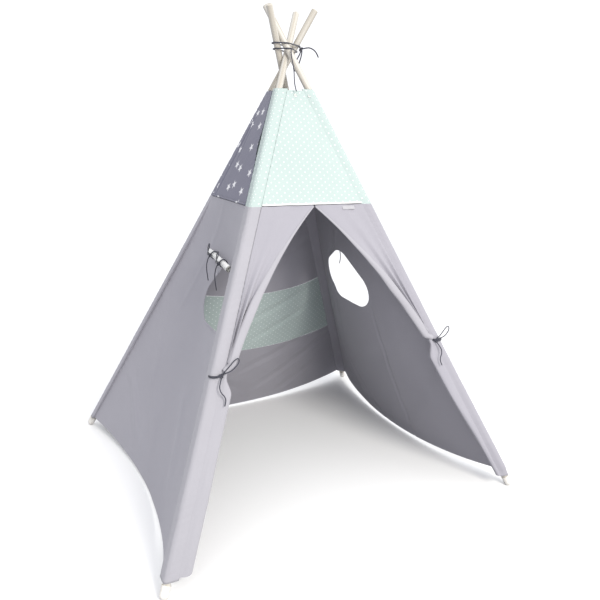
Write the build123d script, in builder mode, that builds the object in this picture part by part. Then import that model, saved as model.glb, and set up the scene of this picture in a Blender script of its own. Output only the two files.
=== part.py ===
"""Four-pole play teepee: a cotton cover on four crossed wooden poles.

Frame: millimetres, +Z up, the floor is Z = 0, the door faces -Y, and the origin is the floor point
midway between the four feet. Poles are named by corner: fl, fr, bl and br, front or back and left or right.
"""

import math
import os

from build123d import *

# poles: the feet stand on a rectangle and the axes pass each other, offset, at the crossing height
FOOT_X = 600.0
FOOT_Y = 541.0
CAP_R = 12.5  # a foot cap's domed end
CAP_FLAT = 0.8  # its tip is worn flat by this much where it stands on the floor
CROSS_Z = 1370.0
POLE_D = 21.0
POLE_L = 1761.0  # from the centre of the cap's dome to the pole's top
POLE_START = 2.0  # the pole stands this far above the dome's centre
POLE_CHAMFER = 2.5
FEET = {"fl": (-1, -1), "fr": (1, -1), "br": (1, 1), "bl": (-1, 1)}
CROSSINGS = {
    "fl": (-12.0, -7.0),
    "fr": (12.0, -30.0),
    "br": (-11.0, 23.0),
    "bl": (17.0, 49.2),
}
CAP_LEN = 24.0  # from the dome's centre to the cap's rim
CAP_BORE = POLE_D / 2 + 0.1
CAP_LIP_R = 13.2
CAP_LIP_H = 4.0

# sleeves: cloth tunnels that hold the poles at the cover's corners
SLEEVE_IN = POLE_D / 2 + 0.2
SLEEVE_OUT = 12.0
SLEEVE_LOW = 42.0  # heights of the tunnel's two ends
SLEEVE_TOP = 1290.0

# cover: heights of its edges and seams
CLOTH = 2.0
COVER_TOP = 1285.0
SEAM_Z = 943.0
SEAM_GAP = 1.5  # half of the room left for the piping at the seam
HEM_MID = 8.0  # the lower hem nearly meets the floor midway between the feet
HEM_END = 42.0  # and rises to this beside the poles
BAND_TOP = 578.0
BAND_LOW = 322.0
SIDE_LEVELS = (HEM_MID, 180.0, BAND_LOW, 460.0, BAND_TOP, 680.0, 780.0, 865.0, SEAM_Z - SEAM_GAP)
STITCH = 0.4  # gap between two pieces of cloth that are sewn edge to edge
OUT = 15.6  # the cloth's middle surface stands this far outside the pole axes
EDGE = 2.0  # and its side edge this far past the axis, along the panel
BOW = 100.0  # how far the lower cloth hangs in, at the hem, midway between the poles
HANG_POWER = 4  # the hang keeps most of its depth up to the windows, then runs out to the seam
LEAST_SAG = 1.0  # and just under the seam
SIDES = {"front": ("fl", "fr"), "right": ("fr", "br"), "back": ("br", "bl"), "left": ("bl", "fl")}

# side windows, each the outline round three circles given by along, height and radius
# both are cut to one pattern, which sits off the panel's middle by its own distance
WIN_X = {"left": 74.0, "right": 22.0}
WIN_CIRCLES = ((-60.0, 619.0, 75.0), (52.0, 637.0, 86.0), (0.0, 683.0, 70.0))
BIND_W = 9.0
BIND_T = 1.2
BLIND_Z = 768.0
BLIND_D = 20.0
BLIND_L = 300.0
BLIND_OUT = 13.0  # from the cloth's outer face to the roll's axis, at the roll's two ends
BLIND_TIE = 70.0  # a tie stands this far to each side of the roll's middle
DEEP = 400.0  # cutting tools reach this far to each side of the cloth
SIDE_ROOM = 80.0  # and this far past its edges

# door: each half is tied back to its pole, with a rolled hem along its free edge
APEX_X = 11.0
APEX_Z = 934.0
KNEE_X = 122.0
KNEE_Z = 824.0
HEM_X = 341.0
HEM_Z = 526.0
HEM_R = 4.5
HEM_ROOM = 12.0  # the cloth's free edge runs this far outside the rolled hem's line
PINCH_X = 369.0
TIE_Z = 506.0
TAIL_Z = 450.0  # below the tie the cloth hangs as a strip, this far past the pole axis at its two ends
TAIL_TOP_W = {"left": 41.0, "right": 39.0}
TAIL_LOW_W = {"left": 41.0, "right": 16.0}
TAIL_LOW = 46.0
PIPING = 2.4
PIPING_H = 5.0
TAG_W = 43.0
TAG_H = 14.0
TAG_T = 0.9
TAG_X = 119.0
TAG_Z = 932.0

# cords: routes are written from the knot, along the panel, up and outwards
CORD = 3.2
KNOT_R = 5.5
RING_ROOM = 0.5
FLAP_RING_R = 21.5
FLAP_RING_X = 3.0
FLAP_RING_Y = -3.0
FLAP_RING_SPAN = (183.0, 269.0, 354.0)
FLAP_KNOT = (0.45, -0.893)
BLIND_LOOP = [
    (-4, 5, 3), (-16, 15, 8), (-31, 28, 11), (-48, 41, 12), (-65, 51, 12), (-77, 50, 13),
    (-74, 38, 14), (-58, 28, 14), (-39, 18, 13), (-20, 9, 11), (-5, 3, 7),
]
BLIND_TAIL = [(3, -5, 2), (9, -17, 6), (10, -34, 9), (5, -51, 10), (1, -68, 8), (3, -84, 6)]
FLAP_LOOP = [
    (4, 5, 1), (15, 13, 5), (28, 24, 8), (42, 36, 9), (55, 42, 9),
    (56, 30, 10), (44, 19, 12), (31, 10, 11), (18, 6, 9), (6, 4, 4),
]
FLAP_TAIL = [(-1, -6, 1), (-6, -17, 4), (-12, -31, 7), (-9, -46, 9), (0, -57, 9), (2, -70, 8), (-4, -83, 6)]
LASH_CORD = 4.0
LASH_Z = (1411.0, 1427.0)
LASH_ROOM = 15.0
LASH_KNOT = (18.4, -13.8, 0.0)  # from the back left pole's axis midway between the wraps
LASH_LOOP = [
    (0, -6.8, -3), (-2, -12, -12), (-7, -15, -27), (-14, -17, -44), (-22, -18, -60), (-30, -18, -72),
    (-36, -18, -62), (-30, -19, -46), (-21, -18, -31), (-11, -15, -17), (-5, -9, -8),
]
LASH_TAIL = [(5.5, -2, 1), (15, -6, 4), (27, -11, 5), (39, -16, -1), (48, -20, -11), (53, -22, -24)]
LACING = [
    (-4, -34.5, 1407), (-5, -38, 1388), (-2, -45, 1365), (-3, -55, 1342),
    (-7, -65, 1319), (-10, -75, 1298), (-7, -81, 1281),
]
EYELET_R = 5.0
EYELET_BARREL = 3.2
EYELET_BORE = 2.3
EYELET_FLANGE = 0.8
EYELET_X = (-6.0, 40.0)
EYELET_Z = 1270.0
FIT = 0.2  # gap round pieces set into or onto the cloth
ROUND = 0.45  # share of the shorter run that an arc may take

os.makedirs("parts", exist_ok=True)


def foot(name):
    """Centre of a foot cap's dome."""
    along_x, along_y = FEET[name]
    return Vector(along_x * FOOT_X, along_y * FOOT_Y, CAP_R - CAP_FLAT)


def crossing(name):
    """Where a pole's axis passes the crossing height."""
    cross_x, cross_y = CROSSINGS[name]
    return Vector(cross_x, cross_y, CROSS_Z)


def rail(name, z):
    """The point of a pole's axis at height z."""
    low = foot(name)
    share = (z - low.Z) / (CROSS_Z - low.Z)
    return low + (crossing(name) - low) * share


def lean(name):
    """Unit vector up a pole's axis."""
    return (crossing(name) - foot(name)).normalized()


def sag(z):
    """How far the cloth hangs in at height z, midway between the poles."""
    if z > SEAM_Z:
        return 0.0
    return LEAST_SAG + BOW * (1 - (z / SEAM_Z) ** HANG_POWER)


def chord(side, z):
    """Ends of a panel's line at height z, with its unit vectors along and inwards."""
    first, last = SIDES[side]
    start = rail(first, z)
    end = rail(last, z)
    along = (end - start).normalized()
    inward = Vector(-along.Y, along.X, 0)
    return start, end, along, inward


def face_at(side, z, x, offset):
    """The point this far outside a panel's outer face, at height z and at x from its middle."""
    start, end, along, inward = chord(side, z)
    half = (end - start).length / 2
    hang = sag(z) * (1 - (x / half) ** 2)
    return (start + end) / 2 + along * x - inward * (OUT + offset - hang)


def strip(side, z, offset, thick, hang):
    """Thin face across a panel at height z, hanging in by hang at its middle."""
    start, end, along, inward = chord(side, z)
    first = start + along * EDGE - inward * offset
    last = end - along * EDGE - inward * offset
    middle = (first + last) / 2 + inward * hang
    step = inward * thick
    with BuildSketch(Plane.XY.offset(z)) as face:
        with BuildLine(Plane.XY):
            if hang > 0:
                ThreePointArc(flat(first), flat(middle), flat(last))
                Line(flat(last), flat(last + step))
                ThreePointArc(flat(last + step), flat(middle + step), flat(first + step))
                Line(flat(first + step), flat(first))
            else:
                Polyline(flat(first), flat(last), flat(last + step), flat(first + step), close=True)
        make_face()
    return face.sketch


def flat(point):
    """A point's place in plan."""
    return (point.X, point.Y)


def cloth(side, heights, offset, thick):
    """Cloth of one panel through its sections at the given heights."""
    faces = [strip(side, z, offset, thick, sag(z)) for z in heights]
    with BuildPart() as panel:
        loft(sections=[f.face() for f in faces], ruled=len(faces) == 2)
    return panel.part


def elevation(side, z):
    """Upright plane through a panel's middle: x runs along it, y is height, and z points outwards."""
    start, end, along, inward = chord(side, z)
    middle = (start + end) / 2
    return Plane(origin=(middle.X, middle.Y, 0), x_dir=along, z_dir=-inward)


def hem_cutter(side):
    """What is cut off under a lower hem, which rises from its middle to the poles."""
    start, end, _, _ = chord(side, HEM_END)
    half = (end - start).length / 2
    wide = half + SIDE_ROOM
    with BuildPart() as cutter:
        with BuildSketch(elevation(side, HEM_END)):
            with BuildLine():
                ThreePointArc((-half, HEM_END), (0, HEM_MID), (half, HEM_END))
                Polyline((half, HEM_END), (wide, HEM_END), (wide, -HEM_END))
                Polyline((wide, -HEM_END), (-wide, -HEM_END), (-wide, HEM_END), (-half, HEM_END))
            make_face()
        extrude(amount=DEEP, both=True)
    return cutter.part


def window(side, grow):
    """Prism of the window's outline, grown by grow."""
    with BuildPart() as prism:
        with BuildSketch(elevation(side, WIN_CIRCLES[0][1])):
            for along, height, radius in WIN_CIRCLES:
                with Locations((WIN_X[side] + along, height)):
                    Circle(radius + grow)
            make_hull()
        extrude(amount=DEEP, both=True)
    return prism.part


def radii(points):
    """Largest arc at each corner of a route."""
    vectors = [Vector(*p) for p in points]
    found = []
    for before, here, after in zip(vectors, vectors[1:], vectors[2:]):
        turn = (here - before).get_angle(after - here)
        run = min((here - before).length, (after - here).length)
        found.append(ROUND * run / math.tan(math.radians(turn) / 2))
    return found


def cord(name, points, diameter):
    """Round cord of straight runs and arcs along a route."""
    bends = radii(points)
    with BuildPart() as tube:
        with BuildLine() as route:
            FilletPolyline(*points, radius=bends)
        with BuildSketch(Plane(origin=route.line @ 0, z_dir=route.line % 0)):
            Circle(diameter / 2)
        sweep()
    length = route.wires()[0].length
    wanted = math.pi * diameter**2 / 4 * length
    ratio = tube.part.volume / wanted
    print(name, "length", round(length, 1), "least radius", round(min(bends), 1))
    print(name, "volume over section times length", round(ratio, 3))
    save(tube.part, name)


def save(part, name):
    """Labels a piece and writes it."""
    part.label = name
    export_step(part, f"parts/{name}.step")


def knot_at_point(point):
    """Drawn-up knot."""
    with BuildPart(Plane(origin=point)) as knot:
        Sphere(KNOT_R)
    return knot.part


def placed(points, origin, along, upward, outward):
    """Route points written as along, up and outwards from origin, in the part's frame."""
    return [tuple(origin + along * a + upward * u + outward * o) for a, u, o in points]


def mirrored(points):
    """The same route turned the other way along the panel."""
    return [(-a, u, o) for a, u, o in points]


# poles, foot caps and sleeves
for corner in FEET:
    axis_plane = Plane(origin=foot(corner), z_dir=lean(corner))
    rise = lean(corner).Z
    with BuildPart(axis_plane.offset(POLE_START)) as pole:
        Cylinder(POLE_D / 2, POLE_L - POLE_START, align=(Align.CENTER, Align.CENTER, Align.MIN))
        chamfer(pole.faces().sort_by(Axis.Z)[-1].edges(), POLE_CHAMFER)
    save(pole.part, f"pole_{corner}")

    with BuildPart(axis_plane) as cap:
        Sphere(CAP_R)
        Cylinder(CAP_R, CAP_LEN, align=(Align.CENTER, Align.CENTER, Align.MIN))
        with Locations((0, 0, CAP_LEN - CAP_LIP_H)):
            Cylinder(CAP_LIP_R, CAP_LIP_H, align=(Align.CENTER, Align.CENTER, Align.MIN))
        with Locations((0, 0, POLE_START)):
            Cylinder(CAP_BORE, CAP_LEN, align=(Align.CENTER, Align.CENTER, Align.MIN), mode=Mode.SUBTRACT)
        split(bisect_by=Plane.XY, keep=Keep.TOP)
    save(cap.part, f"foot_cap_{corner}")

    sleeve_start = (SLEEVE_LOW - foot(corner).Z) / rise
    sleeve_length = (SLEEVE_TOP - SLEEVE_LOW) / rise
    with BuildPart(axis_plane.offset(sleeve_start)) as sleeve:
        Cylinder(SLEEVE_OUT, sleeve_length, align=(Align.CENTER, Align.CENTER, Align.MIN))
        Cylinder(SLEEVE_IN, sleeve_length, align=(Align.CENTER, Align.CENTER, Align.MIN), mode=Mode.SUBTRACT)
    save(sleeve.part, f"sleeve_{corner}")

# front upper panel, with holes for its two eyelets
start, end, front_along, front_in = chord("front", EYELET_Z)
low_start, low_end, _, _ = chord("front", SEAM_Z)
up_slope = ((start + end) / 2 - (low_start + low_end) / 2).normalized()
front_out = front_along.cross(up_slope).normalized()
front_face = (start + end) / 2 - front_in * OUT
eyelet_planes = []
for eyelet_x in EYELET_X:
    centre = front_face + front_along * (eyelet_x - front_face.X)
    eyelet_planes.append(Plane(origin=centre, x_dir=front_along, z_dir=front_out))
with BuildPart() as front_upper:
    add(cloth("front", (SEAM_Z + SEAM_GAP, COVER_TOP), OUT, CLOTH))
    for eyelet_plane in eyelet_planes:
        with BuildSketch(eyelet_plane):
            Circle(EYELET_BARREL + FIT)
        extrude(amount=EYELET_R, both=True, mode=Mode.SUBTRACT)
save(front_upper.part, "front_upper_panel")
for eyelet_plane, place in zip(eyelet_planes, ("left", "right")):
    with BuildPart(eyelet_plane.offset(STITCH)) as eyelet:
        Cylinder(EYELET_R, EYELET_FLANGE, align=(Align.CENTER, Align.CENTER, Align.MIN))
        Cylinder(EYELET_BARREL, CLOTH + STITCH, align=(Align.CENTER, Align.CENTER, Align.MAX))
        Cylinder(EYELET_BORE, EYELET_R * 2, mode=Mode.SUBTRACT)
    save(eyelet.part, f"eyelet_{place}")

# other upper panels, and the piping on the seam
for side in ("left", "right", "back"):
    save(cloth(side, (SEAM_Z + SEAM_GAP, COVER_TOP), OUT, CLOTH), f"{side}_upper_panel")
for side in ("front", "left", "right"):
    piping = cloth(side, (SEAM_Z + SEAM_GAP, SEAM_Z + SEAM_GAP + PIPING_H), OUT + FIT + PIPING, PIPING)
    save(piping, f"seam_piping_{side}")

# side lower panels with their windows, bindings, rolled blinds and blind ties
for side in ("left", "right"):
    body = cloth(side, SIDE_LEVELS, OUT, CLOTH)
    save(body - window(side, 0) - hem_cutter(side), f"{side}_lower_panel")
    skin = cloth(side, SIDE_LEVELS, OUT + FIT + BIND_T, BIND_T)
    save((skin & window(side, BIND_W)) - window(side, 0), f"window_binding_{side}")

    reaches = (WIN_X[side] - BLIND_L / 2, WIN_X[side] + BLIND_L / 2)
    roll_ends = [face_at(side, BLIND_Z, reach, BLIND_OUT) for reach in reaches]
    roll_at = sum(roll_ends, Vector()) / 2
    along = (roll_ends[1] - roll_ends[0]).normalized()
    outward = Vector(along.Y, -along.X, 0)
    with BuildPart(Plane(origin=roll_at, z_dir=along)) as roll:
        Cylinder(BLIND_D / 2, BLIND_L)
    save(roll.part, f"blind_roll_{side}")
    for place, shift in (("a", -BLIND_TIE), ("b", BLIND_TIE)):
        ring_at = roll_at + along * shift
        ring_r = BLIND_D / 2 + CORD / 2 + RING_ROOM
        knot_at = ring_at + outward * (BLIND_D / 2 + KNOT_R + RING_ROOM)
        with BuildPart(Plane(origin=ring_at, z_dir=along)) as ring:
            Torus(ring_r, CORD / 2)
        save(ring.part + knot_at_point(knot_at), f"blind_tie_{side}_{place}")
        loop = BLIND_LOOP if side == "left" else mirrored(BLIND_LOOP)
        tail = BLIND_TAIL if side == "left" else mirrored(BLIND_TAIL)
        cord(f"blind_loop_{side}_{place}", placed(loop, knot_at, -along, Vector(0, 0, 1), outward), CORD)
        cord(f"blind_tail_{side}_{place}", placed(tail, knot_at, -along, Vector(0, 0, 1), outward), CORD)

# back lower panel, three bands sewn one above the other
band = cloth("back", (*SIDE_LEVELS[:2], BAND_LOW - STITCH), OUT, CLOTH)
save(band - hem_cutter("back"), "back_bottom_band")
band = cloth("back", (BAND_LOW + STITCH, (BAND_LOW + BAND_TOP) / 2, BAND_TOP - STITCH), OUT, CLOTH)
save(band, "back_mint_band")
band = cloth("back", (BAND_TOP + STITCH, *SIDE_LEVELS[5:]), OUT, CLOTH)
save(band, "back_top_band")


def flap_plane(corner):
    """Outer face of a door half: it holds the pole's line and the door's apex, moved outwards."""
    start, end, _, inward = chord("front", SEAM_Z)
    apex = (start + end) / 2 - inward * OUT
    top = rail(corner, SEAM_Z) - inward * OUT
    low = rail(corner, TIE_Z) - inward * OUT
    normal = (top - apex).cross(low - apex).normalized()
    if normal.Y > 0:
        normal = -normal
    across = (top - apex) if top.X > apex.X else (apex - top)
    return Plane(origin=apex, x_dir=across.normalized(), z_dir=normal)


def on_plane(plane, x, z):
    """The plane's own coordinates of its point at x and height z."""
    gap = plane.z_dir.X * (x - plane.origin.X) + plane.z_dir.Z * (z - plane.origin.Z)
    local = plane.to_local_coords(Vector(x, plane.origin.Y - gap / plane.z_dir.Y, z))
    return (local.X, local.Y)


# door halves with their rolled hems, and the ties that hold them back
for place, corner, turn in (("left", "fl", -1), ("right", "fr", 1)):
    plane = flap_plane(corner)
    top_z = SEAM_Z - SEAM_GAP
    inner = -turn
    sleeve_edge = {z: rail(corner, z).X + inner * EDGE for z in (top_z, TAIL_LOW)}
    apex_edge = on_plane(plane, turn * (APEX_X + HEM_ROOM), top_z)
    knee_edge = on_plane(plane, turn * (KNEE_X + HEM_ROOM), KNEE_Z)
    pinch_edge = on_plane(plane, turn * PINCH_X, TIE_Z)
    with BuildPart() as flap:
        with BuildSketch(plane):
            with BuildLine():
                Line(on_plane(plane, sleeve_edge[top_z], top_z), apex_edge)
                ThreePointArc(apex_edge, knee_edge, pinch_edge)
                Polyline(
                    pinch_edge,
                    on_plane(plane, rail(corner, TAIL_Z).X + inner * TAIL_TOP_W[place], TAIL_Z),
                    on_plane(plane, rail(corner, TAIL_LOW).X + inner * TAIL_LOW_W[place], TAIL_LOW),
                    on_plane(plane, sleeve_edge[TAIL_LOW], TAIL_LOW),
                    on_plane(plane, sleeve_edge[top_z], top_z),
                )
            make_face()
        extrude(amount=-CLOTH)
    save(flap.part, f"door_flap_{place}")

    hem_plane = plane.offset(-CLOTH / 2)
    with BuildPart() as hem:
        with BuildLine(hem_plane) as hem_line:
            ThreePointArc(
                on_plane(plane, turn * APEX_X, APEX_Z),
                on_plane(plane, turn * KNEE_X, KNEE_Z),
                on_plane(plane, turn * HEM_X, HEM_Z),
            )
        with BuildSketch(Plane(origin=hem_line.line @ 0, z_dir=hem_line.line % 0)):
            Circle(HEM_R)
        sweep()
    save(hem.part, f"door_hem_{place}")

    # the tie runs round the front of the pinched cloth, from the corner seam to the free edge
    ring_at = rail(corner, TIE_Z) + Vector(inner * FLAP_RING_X, FLAP_RING_Y, 0)
    knot_at = ring_at + Vector(inner * FLAP_KNOT[0], FLAP_KNOT[1], 0) * FLAP_RING_R
    with BuildPart() as tie:
        with BuildLine(Plane.XY.offset(TIE_Z)) as tie_line:
            turns = [math.radians(a) for a in FLAP_RING_SPAN]
            reaches = [(inner * FLAP_RING_R * math.cos(a), FLAP_RING_R * math.sin(a)) for a in turns]
            stops = [(ring_at.X + x, ring_at.Y + y) for x, y in reaches]
            ThreePointArc(*stops)
        with BuildSketch(Plane(origin=tie_line.line @ 0, z_dir=tie_line.line % 0)):
            Circle(CORD / 2)
        sweep()
    save(tie.part + knot_at_point(knot_at), f"flap_tie_{place}")
    loop = placed(FLAP_LOOP, knot_at, Vector(1, 0, 0), up_slope, front_out)
    cord(f"flap_loop_{place}", loop, CORD)
    tail = FLAP_TAIL if place == "left" else mirrored(FLAP_TAIL)
    cord(f"flap_tail_{place}", placed(tail, knot_at, Vector(1, 0, 0), up_slope, front_out), CORD)

# blank tag under the seam, on the right door half
tag_plane = flap_plane("fr").offset(FIT)
with BuildPart() as tag:
    with BuildSketch(tag_plane):
        with Locations(on_plane(tag_plane, TAG_X, TAG_Z)):
            Rectangle(TAG_W, TAG_H)
    extrude(amount=TAG_T)
save(tag.part, "label_tag")

# lashing: two turns round the four poles above their crossing, with a knot, a hanging loop and a free end
for place, height in zip(("lower", "upper"), LASH_Z):
    with BuildPart() as wrap:
        half = LASH_CORD / 2
        for radius, mode in ((LASH_ROOM + half, Mode.ADD), (LASH_ROOM - half, Mode.SUBTRACT)):
            with BuildSketch(Plane.XY.offset(height - LASH_CORD / 2)):
                for corner in FEET:
                    with Locations(flat(rail(corner, height))):
                        Circle(radius)
                make_hull()
            extrude(amount=LASH_CORD, mode=mode)
        rims = wrap.faces().filter_by(Axis.Z).edges()
        fillet(rims, LASH_CORD * ROUND)
    save(wrap.part, f"lashing_wrap_{place}")
lash_knot = rail("bl", sum(LASH_Z) / 2) + Vector(*LASH_KNOT)
save(knot_at_point(lash_knot), "lashing_knot")
cord("lashing_loop", [tuple(lash_knot + Vector(*p)) for p in LASH_LOOP], LASH_CORD)
cord("lashing_tail", [tuple(lash_knot + Vector(*p)) for p in LASH_TAIL], LASH_CORD)
cord("lacing_cord", LACING, CORD)
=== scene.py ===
"""Four-pole play teepee: cotton cover, rolled blinds, tied-back door and cord ties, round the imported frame.

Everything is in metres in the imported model's frame. Poles and corners are named fl, fr, br and bl.
"""

import math

import bmesh
import bpy
import numpy as np
from mathutils import Matrix, Vector, noise


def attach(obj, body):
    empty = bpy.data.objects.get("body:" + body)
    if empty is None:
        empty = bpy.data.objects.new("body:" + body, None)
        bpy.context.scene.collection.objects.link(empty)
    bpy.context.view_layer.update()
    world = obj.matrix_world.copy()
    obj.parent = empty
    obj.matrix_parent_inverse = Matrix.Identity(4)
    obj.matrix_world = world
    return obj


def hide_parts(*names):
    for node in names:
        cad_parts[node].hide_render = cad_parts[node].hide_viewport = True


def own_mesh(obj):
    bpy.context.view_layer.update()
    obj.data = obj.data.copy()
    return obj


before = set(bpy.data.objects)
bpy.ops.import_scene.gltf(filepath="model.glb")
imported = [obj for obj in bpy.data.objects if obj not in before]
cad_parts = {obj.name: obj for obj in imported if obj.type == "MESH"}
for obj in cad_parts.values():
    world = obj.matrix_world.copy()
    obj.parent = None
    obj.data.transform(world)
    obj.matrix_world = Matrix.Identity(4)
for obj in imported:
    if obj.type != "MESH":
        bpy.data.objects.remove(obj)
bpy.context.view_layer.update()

UP = Vector((0, 0, 1))
FEET = {"fl": (-0.6, -0.541), "fr": (0.6, -0.541), "br": (0.6, 0.541), "bl": (-0.6, 0.541)}
FOOT_Z = 0.0117
CROSS_Z = 1.37
CROSSINGS = {"fl": (-0.012, -0.007), "fr": (0.012, -0.030), "br": (-0.011, 0.023), "bl": (0.017, 0.0492)}
SIDES = {"front": ("fl", "fr"), "right": ("fr", "br"), "back": ("br", "bl"), "left": ("bl", "fl")}
COVER_TOP = 1.285
SEAM = 0.943
BAND_TOP = 0.578
BAND_LOW = 0.322
BAND_DROOP = 0.030
HEM_MID = 0.010
HEM_END = 0.044
TIE_Z = 0.506
BOW = 0.100
HANG_POWER = 4
LEAST_SAG = 0.001
OUT = 0.0150  # outer face of the cloth outside the pole axes
STITCH_AT = 0.024  # a panel is sewn to its sleeve this far past the pole axis
SLEEVE_SIDE = 0.0128
CLOTH = 0.0011
UV_STRETCH = 1.06  # the panels' slope length over their height


def add_object(name, data):
    made = bpy.data.objects.new(name, data)
    bpy.context.scene.collection.objects.link(made)
    return made


# ---------------------------------------------------------------- camera
AZIMUTH, ELEVATION, ROLL = math.radians(-28.117), math.radians(14.899), math.radians(1.146)
TARGET = Vector((0.0493, -0.0263, 0.5926))
DISTANCE = 2.1161
level_back = Vector((math.sin(AZIMUTH), -math.cos(AZIMUTH), 0))
back = level_back * math.cos(ELEVATION) + Vector((0, 0, math.sin(ELEVATION)))
right = Vector((math.cos(AZIMUTH), math.sin(AZIMUTH), 0))
top = back.cross(right)
rolled = right * math.cos(ROLL) + top * math.sin(ROLL)
camera = add_object("camera", bpy.data.cameras.new("camera"))
axes = Matrix((rolled, back.cross(rolled), back)).transposed().to_4x4()
camera.matrix_world = Matrix.Translation(TARGET + back * DISTANCE) @ axes
camera.data.sensor_width = 36
camera.data.lens = 36.154
bpy.context.scene.camera = camera


# ---------------------------------------------------------------- where things are
def foot(corner):
    x, y = FEET[corner]
    return Vector((x, y, FOOT_Z))


def rail(corner, z):
    """The point of a pole's axis at height z."""
    low, high = foot(corner), Vector((*CROSSINGS[corner], CROSS_Z))
    return low.lerp(high, (z - FOOT_Z) / (CROSS_Z - FOOT_Z))


def lean(corner):
    return (rail(corner, CROSS_Z) - foot(corner)).normalized()


def chord(side, z):
    """A panel's pole points at height z, its unit vector along and the one outwards."""
    first, last = SIDES[side]
    start, end = rail(first, z), rail(last, z)
    along = (end - start).normalized()
    return start, end, along, Vector((along.y, -along.x, 0))


def sag(z):
    return 0.0 if z > SEAM else LEAST_SAG + BOW * (1 - (z / SEAM) ** HANG_POWER)


def smooth(x):
    x = min(max(x, 0.0), 1.0)
    return x * x * (3 - 2 * x)


def hem(u):
    return HEM_END - (HEM_END - HEM_MID) * 4 * u * (1 - u)


def level(value):
    """The function that is this value everywhere."""
    return lambda _: value


def spot(side, u, z, out=0.0, edges=(STITCH_AT, STITCH_AT)):
    """A place on a panel's outer face: u runs from its first pole to its second. Returns it with its distance
    along from the panel's middle and its distance from the nearer seam."""
    start, end, along, outward = chord(side, z)
    length = (end - start).length
    run = edges[0] + (length - edges[0] - edges[1]) * u
    bow = sag(z) * 4 * (run / length) * (1 - run / length)
    place = start + along * run + outward * (OUT + out - bow)
    return place, run - length / 2, min(run, length - run), outward


def at(side, along, z, out=0.0):
    """A place on a panel's outer face given by its distance along from the middle."""
    start, end, _, _ = chord(side, z)
    length = (end - start).length
    return spot(side, along / length + 0.5, z, out, (0.0, 0.0))[0]


def ripple(x, y, seed):
    return noise.noise(Vector((x, y, seed)))


# creases pressed or pulled into a panel: from, to (along, height), half width, height
CREASES = {
    "right": [((-0.105, 0.54), (-0.130, 0.04), 0.007, 0.0036), ((0.26, 0.26), (0.06, 0.03), 0.007, 0.0036),
              ((0.02, 0.90), (0.24, 0.34), 0.020, 0.0040), ((-0.30, 0.50), (0.02, 0.30), 0.028, 0.0040),
              ((-0.36, 0.42), (-0.12, 0.10), 0.030, 0.0050), ((0.36, 0.40), (0.22, 0.08), 0.020, 0.0040)],
    "left": [((-0.36, 0.26), (-0.20, 0.09), 0.018, 0.0050), ((-0.24, 0.30), (-0.06, 0.12), 0.026, 0.0040),
             ((0.05, 0.30), (0.20, 0.12), 0.024, 0.0040), ((-0.30, 0.62), (-0.22, 0.30), 0.016, 0.0022),
             ((0.20, 0.60), (0.30, 0.36), 0.016, 0.0022), ((-0.05, 0.90), (-0.19, 0.55), 0.012, 0.0020)],
    "back": [((-0.46, 0.30), (-0.10, 0.10), 0.015, 0.0055), ((-0.43, 0.36), (-0.02, 0.20), 0.017, 0.0055),
             ((-0.36, 0.50), (-0.06, 0.36), 0.013, 0.0045), ((-0.33, 0.57), (-0.02, 0.44), 0.013, 0.0040),
             ((-0.40, 0.16), (-0.20, 0.05), 0.014, 0.0040), ((0.30, 0.30), (0.02, 0.10), 0.020, 0.0045),
             ((-0.22, 0.88), (-0.10, 0.62), 0.016, 0.0030), ((0.02, 0.88), (0.14, 0.62), 0.018, 0.0035),
             ((-0.24, 0.76), (-0.02, 0.66), 0.016, 0.0030)],
    "front": [((0.10, 1.20), (0.17, 0.96), 0.010, 0.0016)],
}
STAR_CREASES = [((-0.060, 1.20), (-0.135, 0.955), 0.006, 0.0030),
                ((-0.035, 1.22), (-0.060, 1.06), 0.005, 0.0016)]


def crease(x, z, start, end, half, height):
    ax, az = start
    dx, dz = end[0] - ax, end[1] - az
    length = math.hypot(dx, dz)
    t = ((x - ax) * dx + (z - az) * dz) / length**2
    if t < -0.3 or t > 1.3:
        return 0.0
    away = abs((x - ax) * dz - (z - az) * dx) / length
    away += 0.3 * half * ripple(t * 3, height * 900, 4.0)
    fade = smooth((t + 0.25) / 0.4) * smooth((1.25 - t) / 0.4)
    return height * fade * math.exp(-((away / half) ** 2))


def relief(side, x, z, gap, seed, quiet=1.0):
    """How far the cloth stands out: slow waves, creases, and gathers along the sleeves."""
    free = smooth((gap - 0.02) / 0.12)
    rise = 0.0038 * free * ripple(x * 3.1, z * 2.3, seed) * quiet
    rise += 0.0013 * smooth((gap - 0.01) / 0.05) * ripple(x * 9.5, z * 6.5, seed + 7) * quiet
    for start, end, half, height in CREASES[side] if z < SEAM or side == "front" else []:
        rise += crease(x, z, start, end, half, height) - 0.4 * crease(x, z, start, end, half * 2.6, height)
    if side == "left" and z > SEAM:
        for start, end, half, height in STAR_CREASES:
            rise -= crease(x, z, start, end, half, height)
    near = math.exp(-max(gap - STITCH_AT, 0) / 0.020)
    strength = smooth(0.5 + 1.6 * ripple(z * 4.0, x * 1.0, seed + 3))
    wave = math.sin(2 * math.pi * (z + 0.45 * gap) / 0.019 + 5 * ripple(z * 11, 0.5, seed + 5))
    return rise + 0.0011 * near * strength * wave


# ---------------------------------------------------------------- mesh making
STRAND_SIDES = 15
STRAND_PITCH = 0.011
STRAND_DEPTH = 0.10  # how far a strand stands out, over the cord's radius


def grid_faces(rows, wide, wrap_rows=False, wrap=True):
    """Quads over a grid of vertices given row by row, round a closed section unless wrap is off."""
    faces = []
    for i in range(rows if wrap_rows else rows - 1):
        ahead = (i + 1) % rows * wide
        for k in range(wide if wrap else wide - 1):
            beside = (k + 1) % wide
            faces.append((i * wide + k, i * wide + beside, ahead + beside, ahead + k))
    return faces


def caps(count, sides):
    """The two end faces of a tube."""
    return [tuple(range(sides))[::-1], tuple(range((count - 1) * sides, count * sides))]


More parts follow.
